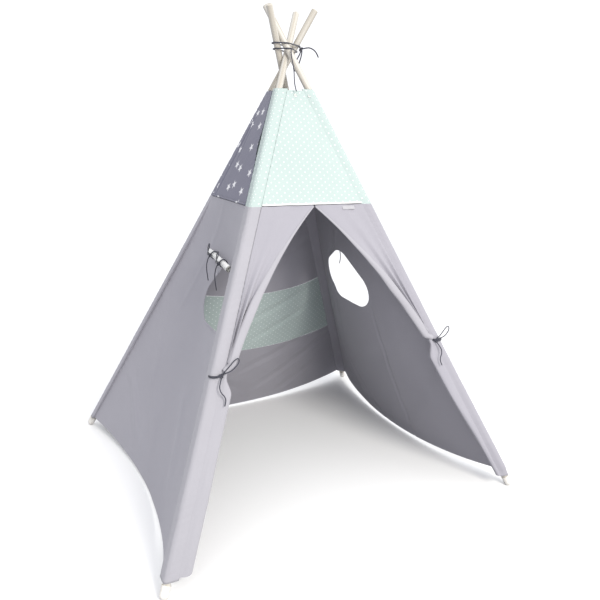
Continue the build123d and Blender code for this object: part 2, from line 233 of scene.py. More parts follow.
def bend(p0, p1, p2, p3, t):
    """A place on the smooth curve from p1 to p2 (Catmull-Rom); works on numbers and on vectors."""
    return 0.5 * (2 * p1 + (p2 - p0) * t + (2 * p0 - 5 * p1 + 4 * p2 - p3) * t * t
                  + (3 * p1 - p0 - 3 * p2 + p3) * t**3)


def finish_mesh(name, verts, faces, uvs, material, flat_faces=0):
    """A mesh object from vertices, faces and one UV per vertex, in metres of cloth."""
    mesh = bpy.data.meshes.new(name)
    mesh.from_pydata([tuple(v) for v in verts], [], [tuple(f) for f in faces])
    layer = mesh.uv_layers.new(name="cloth")
    loops = np.empty(len(mesh.loops), np.int32)
    mesh.loops.foreach_get("vertex_index", loops)
    layer.data.foreach_set("uv", np.array(uvs, np.float32)[loops].ravel())
    shades = np.ones(len(mesh.polygons), bool)
    if flat_faces:
        shades[-flat_faces:] = False
    mesh.polygons.foreach_set("use_smooth", shades)
    for one in material if isinstance(material, list) else [material]:
        mesh.materials.append(one)
    mesh.validate()
    mesh.update()
    return add_object(name, mesh)


def mark_rims(mesh, rim, half):
    """Marks the cloth's cut edges as sharp, so that its faces are shaded flat up to them."""
    edges = np.empty(2 * len(mesh.edges), np.int32)
    mesh.edges.foreach_get("vertices", edges)
    edges = edges.reshape(-1, 2)
    on_rim = np.isin(edges % half, list(rim)).all(axis=1)
    mesh.attributes.new("sharp_edge", "BOOLEAN", "EDGE").data.foreach_set("value", on_rim)


def layered(name, rows, uvs, material, thick=CLOTH):
    """Cloth of real thickness from a grid of places on its outer face: rows[i][j] = (place, outward)."""
    outer = np.array([[p for p, _ in row] for row in rows], float)
    away = np.array([[n for _, n in row] for row in rows], float)
    count, wide = outer.shape[:2]
    across = outer[1, 0] - outer[0, 0]
    facing = float(np.cross(outer[0, 1] - outer[0, 0], across) @ away[0, 0]) > 0
    inner = outer - away * thick
    verts = np.concatenate([outer.reshape(-1, 3), inner.reshape(-1, 3)])
    both = np.array(uvs, float).reshape(-1, 2)
    both = np.concatenate([both, both])
    half = count * wide
    faces = [quad if facing else quad[::-1] for quad in grid_faces(count, wide, wrap=False)]
    faces += [tuple(k + half for k in f[::-1]) for f in faces]
    rim = list(range(wide)) + [i * wide + wide - 1 for i in range(1, count)]
    rim += [(count - 1) * wide + j for j in range(wide - 2, -1, -1)]
    rim += [i * wide for i in range(count - 2, 0, -1)]
    for a, b in zip(rim, rim[1:] + rim[:1]):
        quad = (b, a, a + half, b + half)
        faces.append(quad if facing else quad[::-1])
    made = finish_mesh(name, verts, faces, both, material, flat_faces=len(rim))
    mark_rims(made.data, set(rim), half)
    return made


def laid(points, diameter, closed=False, name="part"):
    """A three-strand cord along points: a tube whose lobes turn with its length."""
    sides, radius = STRAND_SIDES, diameter / 2
    line = [Vector(p) for p in points]
    count = len(line)
    tangents = []
    for i in range(count):
        before = line[(i - 1) % count if closed else max(i - 1, 0)]
        after = line[(i + 1) % count if closed else min(i + 1, count - 1)]
        tangents.append((after - before).normalized())
    side = tangents[0].orthogonal().normalized()
    verts, uvs, run = [], [], 0.0
    for i, (here, tangent) in enumerate(zip(line, tangents)):
        if i:
            run += (here - line[i - 1]).length
            side = (side - tangent * side.dot(tangent)).normalized()
        other = tangent.cross(side)
        for k in range(sides):
            angle = 2 * math.pi * k / sides
            grow = 1 + STRAND_DEPTH * math.cos(3 * (angle - 2 * math.pi / STRAND_PITCH * run))
            verts.append(here + (side * math.cos(angle) + other * math.sin(angle)) * radius * grow)
            uvs.append((k / sides * 2 * math.pi * radius, run))
    faces = grid_faces(count, sides, wrap_rows=closed)
    if not closed:
        faces += caps(count, sides)
    return finish_mesh(name, verts, faces, uvs, navy)


def oval_tube(name, points, frames, wide, tall, material, sides=12, wobble=0.0, seed=0.0):
    """A tube of oval section held square to given directions: wide and tall are functions of the share."""
    verts, uvs, run = [], [], 0.0
    count = len(points)
    for i, (here, (across, outward)) in enumerate(zip(points, frames)):
        t = i / (count - 1)
        if i:
            run += (here - points[i - 1]).length
        for k in range(sides):
            angle = 2 * math.pi * k / sides
            swell = 1 + wobble * ripple(math.cos(angle) * 1.4 + run * 14, math.sin(angle) * 1.4, seed)
            flat = across * (math.cos(angle) * wide(t) * swell)
            verts.append(here + flat + outward * (math.sin(angle) * tall(t) * swell))
            uvs.append((angle * wide(t), run))
    return finish_mesh(name, verts, grid_faces(count, sides) + caps(count, sides), uvs, material)


def curve_points(name, points):
    """The places along a smooth spline of order 3 through the route's corners."""
    curve = bpy.data.curves.new(name, "CURVE")
    curve.dimensions = "3D"
    curve.resolution_u = 12
    spline = curve.splines.new("NURBS")
    spline.points.add(len(points) - 1)
    for knot, place in zip(spline.points, points):
        knot.co = (*place, 1)
    spline.order_u = 3
    spline.use_endpoint_u = True
    bare = bpy.data.objects.new(name, curve)
    mesh = bpy.data.meshes.new_from_object(bare)
    line = [v.co.copy() for v in mesh.vertices]
    bpy.data.meshes.remove(mesh)
    bpy.data.objects.remove(bare)
    bpy.data.curves.remove(curve)
    return line


# ---------------------------------------------------------------- materials
class Shader:
    """A node material. add() makes a node, sets its plain inputs and links the others."""

    def __init__(self, name):
        self.material = bpy.data.materials.new(name)
        self.material.use_nodes = True
        self.tree = self.material.node_tree
        self.tree.nodes.clear()

    def add(self, kind, inputs=(), **settings):
        node = self.tree.nodes.new(kind)
        for key, value in settings.items():
            setattr(node, key, value)
        for key, value in dict(inputs).items():
            if isinstance(value, bpy.types.NodeSocket):
                self.tree.links.new(value, node.inputs[key])
            else:
                node.inputs[key].default_value = value
        return node

    def math(self, operation, *values):
        return self.add("ShaderNodeMath", dict(enumerate(values)), operation=operation).outputs[0]

    def blend(self, share, first, second):
        node = self.add("ShaderNodeMix", {0: share, 6: first, 7: second}, data_type="RGBA")
        return node.outputs[2]

    def noise(self, vector, scale, detail, rough=0.5, **others):
        inputs = {"Vector": vector, "Scale": scale, "Detail": detail, "Roughness": rough, **others}
        return self.add("ShaderNodeTexNoise", inputs).outputs["Fac"]

    def wave(self, vector, scale, distortion, detail, **settings):
        inputs = {"Vector": vector, "Scale": scale, "Distortion": distortion, "Detail": detail}
        return self.add("ShaderNodeTexWave", inputs, **settings).outputs["Fac"]

    def ramp(self, value, start, end, first=0.0, last=1.0):
        """first where the value is start, last where it is end, held beyond them."""
        return self.add("ShaderNodeMapRange", {0: value, 1: start, 2: end, 3: first, 4: last}).outputs[0]

    def mix_sum(self, first, share, second):
        """share of first plus the rest of second."""
        return self.math("ADD", self.math("MULTIPLY", first, share), self.math("MULTIPLY", second, 1 - share))

    def length(self, x, y):
        return self.math("SQRT", self.math("ADD", self.math("MULTIPLY", x, x), self.math("MULTIPLY", y, y)))

    def finish(self, colour, bumps, rough, **plain):
        """bumps are (height, strength, distance), fine to coarse."""
        normal = None
        for height, strength, distance in bumps:
            inputs = {"Height": height, "Strength": strength, "Distance": distance}
            if normal is not None:
                inputs["Normal"] = normal
            normal = self.add("ShaderNodeBump", inputs).outputs["Normal"]
        inputs = {"Base Color": colour, "Roughness": rough}
        if normal is not None:
            inputs["Normal"] = normal
        inputs.update({k.replace("_", " "): v for k, v in plain.items()})
        surface = self.add("ShaderNodeBsdfPrincipled", inputs)
        self.add("ShaderNodeOutputMaterial", {"Surface": surface.outputs[0]})
        return self.material


def rgb(r, g, b):
    return (r, g, b, 1.0)


DOT_GRID = (0.026, 0.021)
DOT_SIZE = (0.0016, 0.0021)  # the radii inside which a dot is full and outside which it is gone
STAR_SCALE = 15.5  # star cells in a metre
STAR_WIDEN = 0.8  # the cells are wider than high
STAR_TIP, STAR_NOTCH, STAR_EDGE = 0.235, 0.098, 0.004  # in cells
STAR_TURN = math.pi / 5


def dots(s, parts):
    """Share of print in a staggered grid of round dots."""
    share = None
    for shift in (0.0, 0.5):
        near = []
        for part, step in zip(parts, DOT_GRID):
            cell = s.math("FRACT", s.math("ADD", s.math("DIVIDE", part, step), shift))
            near.append(s.math("MULTIPLY", s.math("ADD", cell, -0.5), step))
        dot = s.ramp(s.length(*near), *DOT_SIZE, 1.0, 0.0)
        share = dot if share is None else s.math("MAXIMUM", share, dot)
    return share


def stars(s, uv):
    """Share of print in scattered five-pointed stars, one in each cell and each turned its own way."""
    widen = {0: uv, 1: (STAR_WIDEN, 1.0, 1.0)}
    drawn = s.add("ShaderNodeVectorMath", widen, operation="MULTIPLY").outputs[0]
    inputs = {"Vector": drawn, "Scale": STAR_SCALE, "Randomness": 0.5}
    cells = s.add("ShaderNodeTexVoronoi", inputs, voronoi_dimensions="2D").outputs
    away = s.add("ShaderNodeVectorMath", {0: drawn, 1: cells["Position"]}, operation="SUBTRACT").outputs[0]
    local = s.add("ShaderNodeVectorMath", {0: away, 1: (STAR_SCALE,) * 3}, operation="MULTIPLY").outputs[0]
    x, y, _ = s.add("ShaderNodeSeparateXYZ", {0: local}).outputs
    chance = s.add("ShaderNodeSeparateXYZ", {0: cells["Color"]}).outputs[0]
    angle = s.math("ADD", s.math("ARCTAN2", y, x), s.math("MULTIPLY", chance, 2 * math.pi))
    fold = s.math("ABSOLUTE", s.math("ADD", s.math("FLOORED_MODULO", angle, 2 * STAR_TURN), -STAR_TURN))
    fold = s.math("SUBTRACT", STAR_TURN, fold)
    reach = s.length(x, y)
    px = s.math("MULTIPLY", reach, s.math("COSINE", fold))
    py = s.math("MULTIPLY", reach, s.math("SINE", fold))
    nx, ny = STAR_NOTCH * math.cos(STAR_TURN), STAR_NOTCH * math.sin(STAR_TURN)
    size = math.hypot(ny, STAR_TIP - nx)
    side = s.math("ADD", s.math("MULTIPLY", px, ny / size), s.math("MULTIPLY", py, (STAR_TIP - nx) / size))
    limit = STAR_TIP * ny / size
    return s.ramp(side, limit - STAR_EDGE, limit + STAR_EDGE, 1.0, 0.0)


def cotton(name, colour, dark, print_kind=None, print_colour=None, sheen=0.25):
    """Plain-weave cotton from its UV, in metres: threads, slubs, soft tone changes and any print."""
    s = Shader(name)
    uv = s.add("ShaderNodeUVMap", uv_map="cloth").outputs[0]
    warp = s.wave(uv, 420.0, 0.6, 1.0, bands_direction="X")
    weft = s.wave(uv, 420.0, 0.6, 1.0, bands_direction="Y")
    weave = s.math("MULTIPLY", warp, weft)
    slub = s.noise(uv, 260.0, 3.0, 0.6)
    cloud = s.noise(uv, 5.0, 4.0, 0.55)
    soft = s.noise(uv, 28.0, 3.0)
    base = s.blend(s.ramp(s.mix_sum(cloud, 0.55, slub), 0.3, 0.7), dark, colour)
    if print_kind == "dots":
        parts = s.add("ShaderNodeSeparateXYZ", {0: uv}).outputs
        base = s.blend(dots(s, parts), base, print_colour)
    if print_kind == "stars":
        base = s.blend(stars(s, uv), base, print_colour)
    rough = s.ramp(slub, 0.3, 0.7, 0.78, 0.92)
    bumps = [(weave, 0.25, 0.0003), (slub, 0.18, 0.0006), (soft, 0.22, 0.0022)]
    return s.finish(base, bumps, rough, Sheen_Weight=sheen, Sheen_Roughness=0.6, Specular_IOR_Level=0.2)


def cord_cotton(name, on_cloth, scale, distortion, strength, depth):
    """Braided cotton cord: fibres, fluff and tone, from its UV or, where it has none, from its own place."""
    s = Shader(name)
    if on_cloth:
        place = s.add("ShaderNodeUVMap", uv_map="cloth").outputs[0]
    else:
        place = s.add("ShaderNodeTexCoord").outputs["Object"]
    fibre = s.noise(place, 900.0, 3.0)
    braid = s.wave(place, scale, distortion, 2.0, bands_direction="DIAGONAL")
    colour = s.blend(s.mix_sum(fibre, 0.5, braid), rgb(0.010, 0.011, 0.020), rgb(0.050, 0.052, 0.078))
    bumps = [(braid, strength, depth), (fibre, 0.3, 0.0002)]
    return s.finish(colour, bumps, 0.85, Sheen_Weight=0.35, Sheen_Roughness=0.5)


def wood(corner):
    """Pale sanded pine, its grain along the pole."""
    s = Shader(f"pine_{corner}")
    place = s.add("ShaderNodeTexCoord").outputs["Object"]
    turn = lean(corner).rotation_difference(UP).to_euler("XYZ")
    shift = Vector((0.3, 0.7, 1.1)) * (1 + list(FEET).index(corner))
    inputs = {"Vector": place, "Rotation": tuple(turn), "Location": tuple(shift)}
    upright = s.add("ShaderNodeMapping", inputs).outputs[0]
    drawn = s.add("ShaderNodeMapping", {"Vector": upright, "Scale": (1.0, 1.0, 0.045)}).outputs[0]
    grain = s.noise(drawn, 150.0, 5.0, 0.65, Distortion=0.4)
    inputs = {"Vector": drawn, "Scale": 22.0, "Distortion": 5.0, "Detail": 3.0, "Detail Scale": 1.4}
    rings = s.add("ShaderNodeTexWave", inputs, wave_type="RINGS", rings_direction="Z").outputs["Fac"]
    knots = s.add("ShaderNodeTexVoronoi", {"Vector": upright, "Scale": 6.0}).outputs["Distance"]
    knot = s.ramp(knots, 0.02, 0.09, 1.0, 0.0)
    tone = s.ramp(s.mix_sum(grain, 0.6, rings), 0.25, 0.75)
    colour = s.blend(tone, rgb(0.46, 0.425, 0.365), rgb(0.60, 0.58, 0.54))
    colour = s.blend(s.math("MULTIPLY", knot, 0.5), colour, rgb(0.40, 0.30, 0.20))
    rough = s.ramp(grain, 0.3, 0.7, 0.5, 0.68)
    return s.finish(colour, [(grain, 0.25, 0.0005)], rough, Specular_IOR_Level=0.35)


def moulded(name, colour, dark, rough_low, rough_high, metal=0.0):
    """Moulded plastic or brushed metal, with fine grain and rubbed patches."""
    s = Shader(name)
    place = s.add("ShaderNodeTexCoord").outputs["Object"]
    grain = s.noise(place, 1100.0, 2.0)
    scuff = s.noise(place, 120.0, 5.0, 0.7)
    worn = s.blend(s.ramp(scuff, 0.45, 0.72), colour, dark)
    rough = s.ramp(scuff, 0.3, 0.7, rough_low, rough_high)
    return s.finish(worn, [(grain, 0.12, 0.0002), (scuff, 0.08, 0.0005)], rough, Metallic=metal)


grey = cotton("cotton_grey", rgb(0.342, 0.334, 0.372), rgb(0.312, 0.304, 0.342))
# The second grey is painted light: a lighter copy of the same grey cotton, used where the cloth faces the key
# light (front-left sleeve, door rolls, left door strip).
grey_painted_lit = cotton("cotton_grey_painted_lit", rgb(0.375, 0.368, 0.400), rgb(0.342, 0.336, 0.368))
mint = cotton("cotton_mint_dots", rgb(0.436, 0.515, 0.500), rgb(0.402, 0.482, 0.466),
              "dots", rgb(0.76, 0.80, 0.79))
dusk = cotton("cotton_dusk_stars", rgb(0.146, 0.145, 0.202), rgb(0.124, 0.123, 0.175),
              "stars", rgb(0.72, 0.72, 0.74))
white = cotton("cotton_white", rgb(0.82, 0.82, 0.81), rgb(0.76, 0.76, 0.75))
tag_cloth = cotton("satin_tag", rgb(0.405, 0.40, 0.425), rgb(0.37, 0.365, 0.39), sheen=0.6)
navy = cord_cotton("cord_navy", True, 180.0, 2.0, 0.5, 0.0004)
navy_lashing = cord_cotton("cord_navy_lashing", False, 110.0, 1.5, 0.6, 0.0006)
cap_plastic = moulded("cap_plastic", rgb(0.80, 0.78, 0.74), rgb(0.66, 0.63, 0.57), 0.42, 0.62)
eyelet_metal = moulded("eyelet_metal", rgb(0.72, 0.71, 0.69), rgb(0.52, 0.51, 0.49), 0.22, 0.42, metal=1.0)


# ---------------------------------------------------------------- riding
def settle(piece, body, nodes, squash_side=None):
    """The piece rides with its leg; a piece of a panel side gets its own copy of its mesh, and the CAD parts
    it stands for are hidden.
    """
    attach(piece, body)
    if squash_side:
        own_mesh(piece)
    if nodes:
        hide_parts(*nodes)
    return piece


# ---------------------------------------------------------------- cords (first, so that their room is known)
BLIND_LOOP = [(-4, 5, 3), (-16, 15, 8), (-31, 28, 11), (-48, 41, 12), (-65, 51, 12), (-77, 50, 13),
              (-74, 38, 14), (-58, 28, 14), (-39, 18, 13), (-20, 9, 11), (-5, 3, 7)]
BLIND_TAIL = [(3, -5, 2), (9, -17, 6), (10, -34, 9), (5, -51, 10), (1, -68, 8), (3, -84, 6)]
FLAP_LOOP = [(4, 5, 1), (15, 13, 5), (28, 24, 8), (42, 36, 9), (55, 42, 9), (56, 30, 10), (44, 19, 12),
             (31, 10, 11), (18, 6, 9), (6, 4, 4)]
FLAP_TAIL = [(-1, -6, 1), (-6, -17, 4), (-12, -31, 7), (-9, -46, 9), (0, -57, 9), (2, -70, 8), (-4, -83, 6)]
LASH_LOOP = [(0, -6.8, -3), (-2, -12, -12), (-7, -15, -27), (-14, -17, -44), (-22, -18, -60), (-30, -18, -72),
             (-36, -18, -62), (-30, -19, -46), (-21, -18, -31), (-11, -15, -17), (-5, -9, -8)]
LASH_TAIL = [(5.5, -2, 1), (15, -6, 4), (27, -11, 5), (39, -16, -1), (48, -20, -11), (53, -22, -24)]
LACING = [(-4, -34.5, 1407), (-5, -38, 1388), (-2, -45, 1365), (-3, -55, 1342), (-7, -65, 1319),
          (-10, -75, 1298), (-7, -81, 1281)]
CORD = 0.0032
LASH_CORD = 0.004
KNOT_OUT = 0.006  # a blind's knot past the roll
FLAP_RING = 0.0215  # radius of a door tie round the sleeve, and the angles where it goes into the seam
FLAP_ARC = (math.radians(183), math.radians(354))
KNOT_FACING = (0.45, -0.893, 0)  # from the ring's middle to the left door tie's knot
LASH_Z = 1.419
BLIND_Z = 0.768
BLIND_OUT = 0.0286  # from the pole axes, and past the cloth's hang, to the roll's axis at its two ends
BLIND_HALF = 0.150
WIN_X = {"left": 0.074, "right": 0.022}  # a window's place along its panel, from the middle
BLIND_TIES = (("a", -0.070), ("b", 0.070))
BLIND_R = 0.010
MM = 0.001


def cord(name, points, diameter, body, side=None):
    """A laid cord along a route."""
    line = curve_points(name, points)
    piece = laid(line, diameter, name=name + "_cord")
    settle(piece, body, [name], side)


def knotted(centre, axis, size, diameter):
    """A drawn-up knot: a trefoil of cord."""
    turn = UP.rotation_difference(axis).to_matrix()
    found = []
    for i in range(60):
        t = 2 * math.pi * i / 60
        x, y = math.sin(t) + 2 * math.sin(2 * t), math.cos(t) - 2 * math.cos(2 * t)
        p = Vector((x, y, -math.sin(3 * t) * 1.2))
        found.append(centre + turn @ (p * size / 3))
    return laid(found, diameter, closed=True)


def join(pieces, name):
    """One piece from several meshes."""
    merged = bmesh.new()
    for piece in pieces:
        merged.from_mesh(piece.data)
    mesh = pieces[0].data.copy()
    merged.to_mesh(mesh)
    merged.free()
    for piece in pieces:
        bpy.data.objects.remove(piece)
    mesh.name = name
    return add_object(name, mesh)


def roll_end(side, x):
    """The axis of a rolled blind at x from the panel's middle, if the roll ends there."""
    start, end, along, outward = chord(side, BLIND_Z)
    hang = sag(BLIND_Z) * (1 - (2 * x / (end - start).length) ** 2)
    return (start + end) / 2 + along * x + outward * (BLIND_OUT - hang)


def tie_corner(side, shift):
    """The pole that a blind's tie rides with: the one on its side of the panel's middle."""
    return SIDES[side][0 if WIN_X[side] + shift < 0 else 1]


blind_axis = {}
for side in ("left", "right"):
    roll_ends = [roll_end(side, WIN_X[side] + reach) for reach in (-BLIND_HALF, BLIND_HALF)]
    roll_at = (roll_ends[0] + roll_ends[1]) / 2
    along = (roll_ends[1] - roll_ends[0]).normalized()
    outward = Vector((along.y, -along.x, 0))
    blind_axis[side] = (roll_at, along, outward)
    for place, shift in BLIND_TIES:
        corner = tie_corner(side, shift)
        ring_at = roll_at + along * shift
        knot_at = ring_at + outward * (BLIND_R + KNOT_OUT)
        turn = 1 if side == "left" else -1
        routes = (("blind_loop", BLIND_LOOP, "object"), ("blind_tail", BLIND_TAIL, "bare"))
        for kind, route, far_end in routes:
            places = []
            for a, u, o in route:
                places.append(knot_at - along * (a * turn * MM) + UP * (u * MM) + outward * (o * MM))
            cord(f"{kind}_{side}_{place}", places, CORD, f"leg_{corner}", side)
        pieces = []
        for step in (-0.0019, 0.0019):
            ring = []
            for i in range(40):
                angle = 2 * math.pi * i / 40
                spread = (UP * math.sin(angle) + outward * math.cos(angle)) * (BLIND_R + CORD / 2 + 0.0004)
                ring.append(ring_at + along * (step + 0.0008 * math.sin(angle)) + spread)
            pieces.append(laid(ring, CORD, closed=True))
        pieces.append(knotted(knot_at, outward, 0.0060, CORD))
        tie = join(pieces, f"blind_knot_{side}_{place}")
        settle(tie, f"leg_{corner}", [f"blind_tie_{side}_{place}"], side)

front_start, front_end, front_along, front_outward = chord("front", 1.27)
low_start, low_end, _, _ = chord("front", SEAM)
up_slope = ((front_start + front_end) / 2 - (low_start + low_end) / 2).normalized()
front_out = front_along.cross(up_slope).normalized()
for place, corner, inner in (("left", "fl", 1), ("right", "fr", -1)):
    ring_at = rail(corner, TIE_Z) + Vector((inner * 0.003, -0.003, 0))
    knot_at = ring_at + Vector((inner * KNOT_FACING[0], *KNOT_FACING[1:])) * FLAP_RING
    routes = (("flap_loop", FLAP_LOOP, 1, "object"), ("flap_tail", FLAP_TAIL, inner, "bare"))
    for kind, route, flip, far_end in routes:
        places = []
        for a, u, o in route:
            beside = Vector((a * flip * MM, 0, 0))
            places.append(knot_at + beside + up_slope * (u * MM) + front_out * (o * MM))
        cord(f"{kind}_{place}", places, CORD, f"leg_{corner}")
    pieces = []
    for step in (-0.0018, 0.0018):
        arc = []
        for i in range(33):
            angle = FLAP_ARC[0] + (FLAP_ARC[1] - FLAP_ARC[0]) * i / 32
            x, y = FLAP_RING * math.cos(angle), FLAP_RING * math.sin(angle)
            arc.append(ring_at + Vector((inner * x, y, step + 0.002 * math.cos(angle))))
        pieces.append(laid(arc, CORD))
    pieces.append(knotted(knot_at, front_out, 0.0062, CORD))
    settle(join(pieces, f"flap_knot_{place}"), f"leg_{corner}", [f"flap_tie_{place}"])

lash_knot = rail("bl", LASH_Z) + Vector((18.4, -13.8, 0)) * MM
for kind, start, route, thick, far_end in (("lashing_loop", lash_knot, LASH_LOOP, LASH_CORD, "object"),
                                           ("lashing_tail", lash_knot, LASH_TAIL, LASH_CORD, "bare"),
                                           ("lacing_cord", Vector(), LACING, CORD, "object")):
    cord(kind, [start + Vector(p) * MM for p in route], thick, "cover")
knot = knotted(lash_knot, Vector((0.2, -1, 0)).normalized(), 0.0064, LASH_CORD)
knot.name = "lashing_knot_cord"
settle(knot, "cover", ["lashing_knot"])


# ---------------------------------------------------------------- parts that keep their CAD shape
def paint(node, material):
    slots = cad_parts[node].data.materials
    slots.clear()
    slots.append(material)


for height in ("lower", "upper"):
    paint(f"lashing_wrap_{height}", navy_lashing)
for corner in FEET:
    paint(f"pole_{corner}", wood(corner))
    paint(f"foot_cap_{corner}", cap_plastic)


# ---------------------------------------------------------------- panels
def half_grid(side, half, low, high, seed, rows, columns, slit, quiet):
    """Places and UVs of one half of a panel between two height functions of u, denser towards its pole."""
    edges = (STITCH_AT, STITCH_AT)
    grid, uvs = [], []
    for i in range(rows + 1):
        v = i / rows
        line, marks = [], []
        for j in range(columns + 1):
            t = (j / columns) ** 1.2
            u = 0.5 * t if half == 0 else 1 - 0.5 * t
            z = low(u) + (high(u) - low(u)) * v
            here = edges if slit is None else slit(z, edges)
            _, x, gap, _ = spot(side, u, z, 0.0, here)
            out = relief(side, x, z, gap, seed, quiet)
            place, x, _, outward = spot(side, u, z, out, here)
            line.append((place, outward))
            marks.append((x, z * UV_STRETCH))
        grid.append(line)
        uvs.append(marks)
    return grid, uvs


WIN_MID = 0.64
WIN_CIRCLES = ((-0.060, 0.619, 0.075), (0.052, 0.637, 0.086), (0.0, 0.683, 0.070))  # along, height, radius


def window_outline(side, grow=0.0, count=96):
    """(along, height) round the window: the outline round three circles."""
    circles = [(WIN_X[side] + x, z, r) for x, z, r in WIN_CIRCLES]
    found = []
    for i in range(count):
        angle = 2 * math.pi * i / count
        x, z, r = max(circles, key=lambda c: c[0] * math.cos(angle) + c[1] * math.sin(angle) + c[2])
        found.append((x + (r + grow) * math.cos(angle), z + (r + grow) * math.sin(angle)))
    return found


def half_outline(side, sign, grow=0.0, count=160):
    """The stretch of the window's outline on one side of the panel's middle line, from end to end."""
    outline = window_outline(side, grow, count)
    kept, crossings = [], []
    for here, ahead in zip(outline, outline[1:] + outline[:1]):
        if here[0] * sign > 0:
            kept.append(here)
        if (here[0] * sign > 0) != (ahead[0] * sign > 0):
            share = here[0] / (here[0] - ahead[0])
            kept.append((0.0, here[1] + (ahead[1] - here[1]) * share))
            crossings.append(len(kept) - 1)
    first = crossings[1] if crossings[1] == crossings[0] + 1 else crossings[0]
    return kept[first:] + kept[:first]


def cut_window(piece, side):
    """Cuts the window through a lower side panel."""
    start, end, along, outward = chord(side, WIN_MID)
    middle = (start + end) / 2
    outline = window_outline(side)
    verts = []
    for depth in (-0.16, 0.06):
        for a, z in outline:
            place = middle + along * a + outward * depth
            verts.append((place.x, place.y, z))
    count = len(outline)
    faces = [tuple(range(count)), tuple(range(2 * count - 1, count - 1, -1))]
    faces += [(i, i + count, (i + 1) % count + count, (i + 1) % count) for i in range(count)]
    cutter = finish_mesh("cutter", verts, faces, [(0, 0)] * len(verts), piece.data.materials[0])
    shaped = bmesh.new()
    shaped.from_mesh(cutter.data)
    bmesh.ops.recalc_face_normals(shaped, faces=shaped.faces)
    shaped.to_mesh(cutter.data)
    shaped.free()
    cutter.data.polygons.foreach_set("use_smooth", [False] * len(cutter.data.polygons))
    cut = piece.modifiers.new("window", "BOOLEAN")
    cut.operation = "DIFFERENCE"
    cut.solver = "EXACT"
    cut.object = cutter
    graph = bpy.context.evaluated_depsgraph_get()
    cut_piece = piece.evaluated_get(graph)
    made = bpy.data.meshes.new_from_object(cut_piece, preserve_all_data_layers=True, depsgraph=graph)
    piece.modifiers.remove(cut)
    old = piece.data
    piece.data = made
    bpy.data.meshes.remove(old)
    bpy.data.objects.remove(cutter)


def cloth_area(grid):
    """Area of one layer, in square metres."""
    p = np.array([[q for q, _ in row] for row in grid], float)
    first = np.cross(p[1:, :-1] - p[:-1, :-1], p[:-1, 1:] - p[:-1, :-1])
    last = np.cross(p[1:, :-1] - p[1:, 1:], p[:-1, 1:] - p[1:, 1:])
    return float(np.linalg.norm(first, axis=2).sum() + np.linalg.norm(last, axis=2).sum()) / 2


def panel(name, node, low, high, seed, material, rows, columns=88, held="stretched", slit=None, quiet=1.0):
    """Both halves of a panel. Each rides with its own pole, and they meet on the panel's middle line."""
    side = name.split("_")[0]
    for half in (0, 1):
        corner = SIDES[side][half]
        grid, uvs = half_grid(side, half, low, high, seed, rows, columns, slit, quiet)
        piece = layered(f"{name}_{corner}", grid, uvs, material)
        area = cloth_area(grid)
        if node in ("left_lower_panel", "right_lower_panel"):
            cut_window(piece, side)
            edge = half_outline(side, -1 if half == 0 else 1)
            area -= abs(sum(a[0] * b[1] - a[1] * b[0] for a, b in zip(edge, edge[1:] + edge[:1]))) / 2
        settle(piece, f"leg_{corner}", [node], side)


def drooped(z):
    return lambda u: z - BAND_DROOP * 4 * u * (1 - u)


def star_slit(z, edges):
    """The star panel's seam gapes a little beside the front left sleeve."""
    gape = math.exp(-(((z - 1.118) / 0.042) ** 2))
    return (edges[0], edges[1] + 0.013 * gape)


upper = (level(SEAM + 0.001), level(COVER_TOP))
lower = (hem, level(SEAM - 0.001))
panel("front_upper", "front_upper_panel", *upper, 1.0, mint, 60, 44, quiet=0.7)
panel("left_upper", "left_upper_panel", *upper, 2.0, dusk, 60, 44, slit=star_slit)
panel("right_upper", "right_upper_panel", *upper, 3.0, dusk, 60, 44)
panel("back_upper", "back_upper_panel", *upper, 4.0, mint, 60, 44)
panel("left_lower", "left_lower_panel", *lower, 5.0, grey, 150)
panel("right_lower", "right_lower_panel", *lower, 6.0, grey, 150)
panel("back_bottom", "back_bottom_band", hem, drooped(BAND_LOW), 7.0, grey, 54, held="hung")
panel("back_mint", "back_mint_band", drooped(BAND_LOW + 0.0008), drooped(BAND_TOP - 0.0008), 7.0, mint, 46)
panel("back_top", "back_top_band", drooped(BAND_TOP), level(SEAM - 0.001), 7.0, grey, 60)


# ---------------------------------------------------------------- sleeves
SLEEVE_LOW = 0.042
SLEEVE_TOP = 1.290


def sleeve_ring(corner, z, loose, count):
    """One section of a sleeve: flat along both panels, round the pole, and closed behind it."""
    first = next(side for side in SIDES if SIDES[side][0] == corner)
    second = next(side for side in SIDES if SIDES[side][1] == corner)
    _, _, a1, n1 = chord(first, z)
    _, _, back_along, n2 = chord(second, z)
    a2 = -back_along
    diagonal = (n1 + n2).normalized()
    side = SLEEVE_SIDE
    swell = side + loose
    marks = [a1 * 0.026 + n1 * side, a1 * 0.017 + n1 * (side + 0.0004), a1 * 0.008 + n1 * (side + 0.0006)]
    for k in range(1, 8):
        angle = math.pi / 2 * k / 8
        reach = n1 * math.cos(angle) + n2 * math.sin(angle)
        bulge = 1 + 0.06 * math.sin(2 * angle)
        radius = side * math.cos(angle) ** 2 + swell * math.sin(angle) ** 2
        marks.append(reach.normalized() * radius * bulge)
    marks.append(a2 * 0.008 + n2 * (swell + 0.0002))
    marks += [a2 * 0.017 + n2 * (side + loose * 0.4), a2 * 0.026 + n2 * side]
    marks += [a2 * 0.018 - n1 * 0.004, -diagonal * 0.0146, a1 * 0.018 - n2 * 0.004]
    centre = rail(corner, z)
    ring = []
    total = len(marks)
    for k in range(total):
        p0, p1, p2, p3 = (marks[(k + d) % total] for d in (-1, 0, 1, 2))
        for i in range(count):
            t = i / count
            ring.append(centre + p1.lerp(p2, t).lerp(bend(p0, p1, p2, p3, t), 0.7))
    return ring


